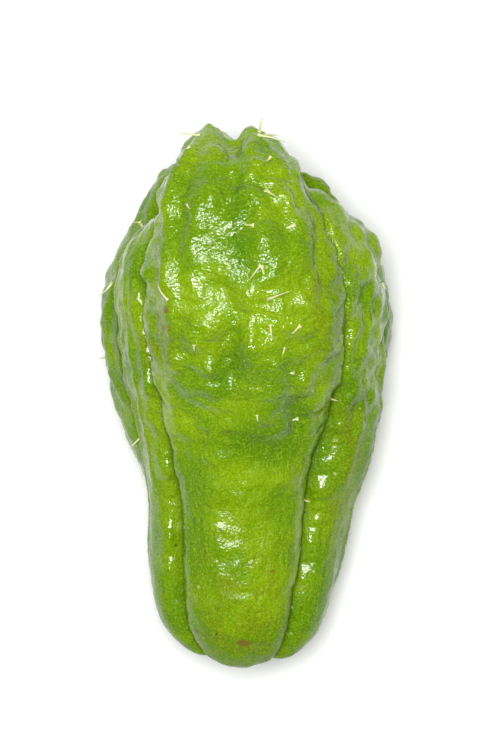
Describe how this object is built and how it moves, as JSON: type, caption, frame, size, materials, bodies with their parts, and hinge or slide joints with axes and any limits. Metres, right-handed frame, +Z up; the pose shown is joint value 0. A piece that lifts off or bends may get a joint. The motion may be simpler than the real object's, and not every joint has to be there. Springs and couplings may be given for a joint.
{
  "type": "chayote squash",
  "caption": "Whole chayote squash lying on its side: pear-shaped green fruit with deep lengthwise furrows between rounded lobes",
  "frame": {"origin": "on the surface it rests on, under the middle of its bounding box", "axes": "Y runs along the fruit from the narrow stem end (-Y) to the broad blossom end (+Y), X across it, Z up"},
  "size_m": [0.0838, 0.1538, 0.0795],
  "materials": {
    "green_skin": "waxy, slightly glossy yellow-green fruit skin"
  },
  "bodies": {
    "root": {"chayote_fruit": "green_skin"}
  },
  "joints": []
}
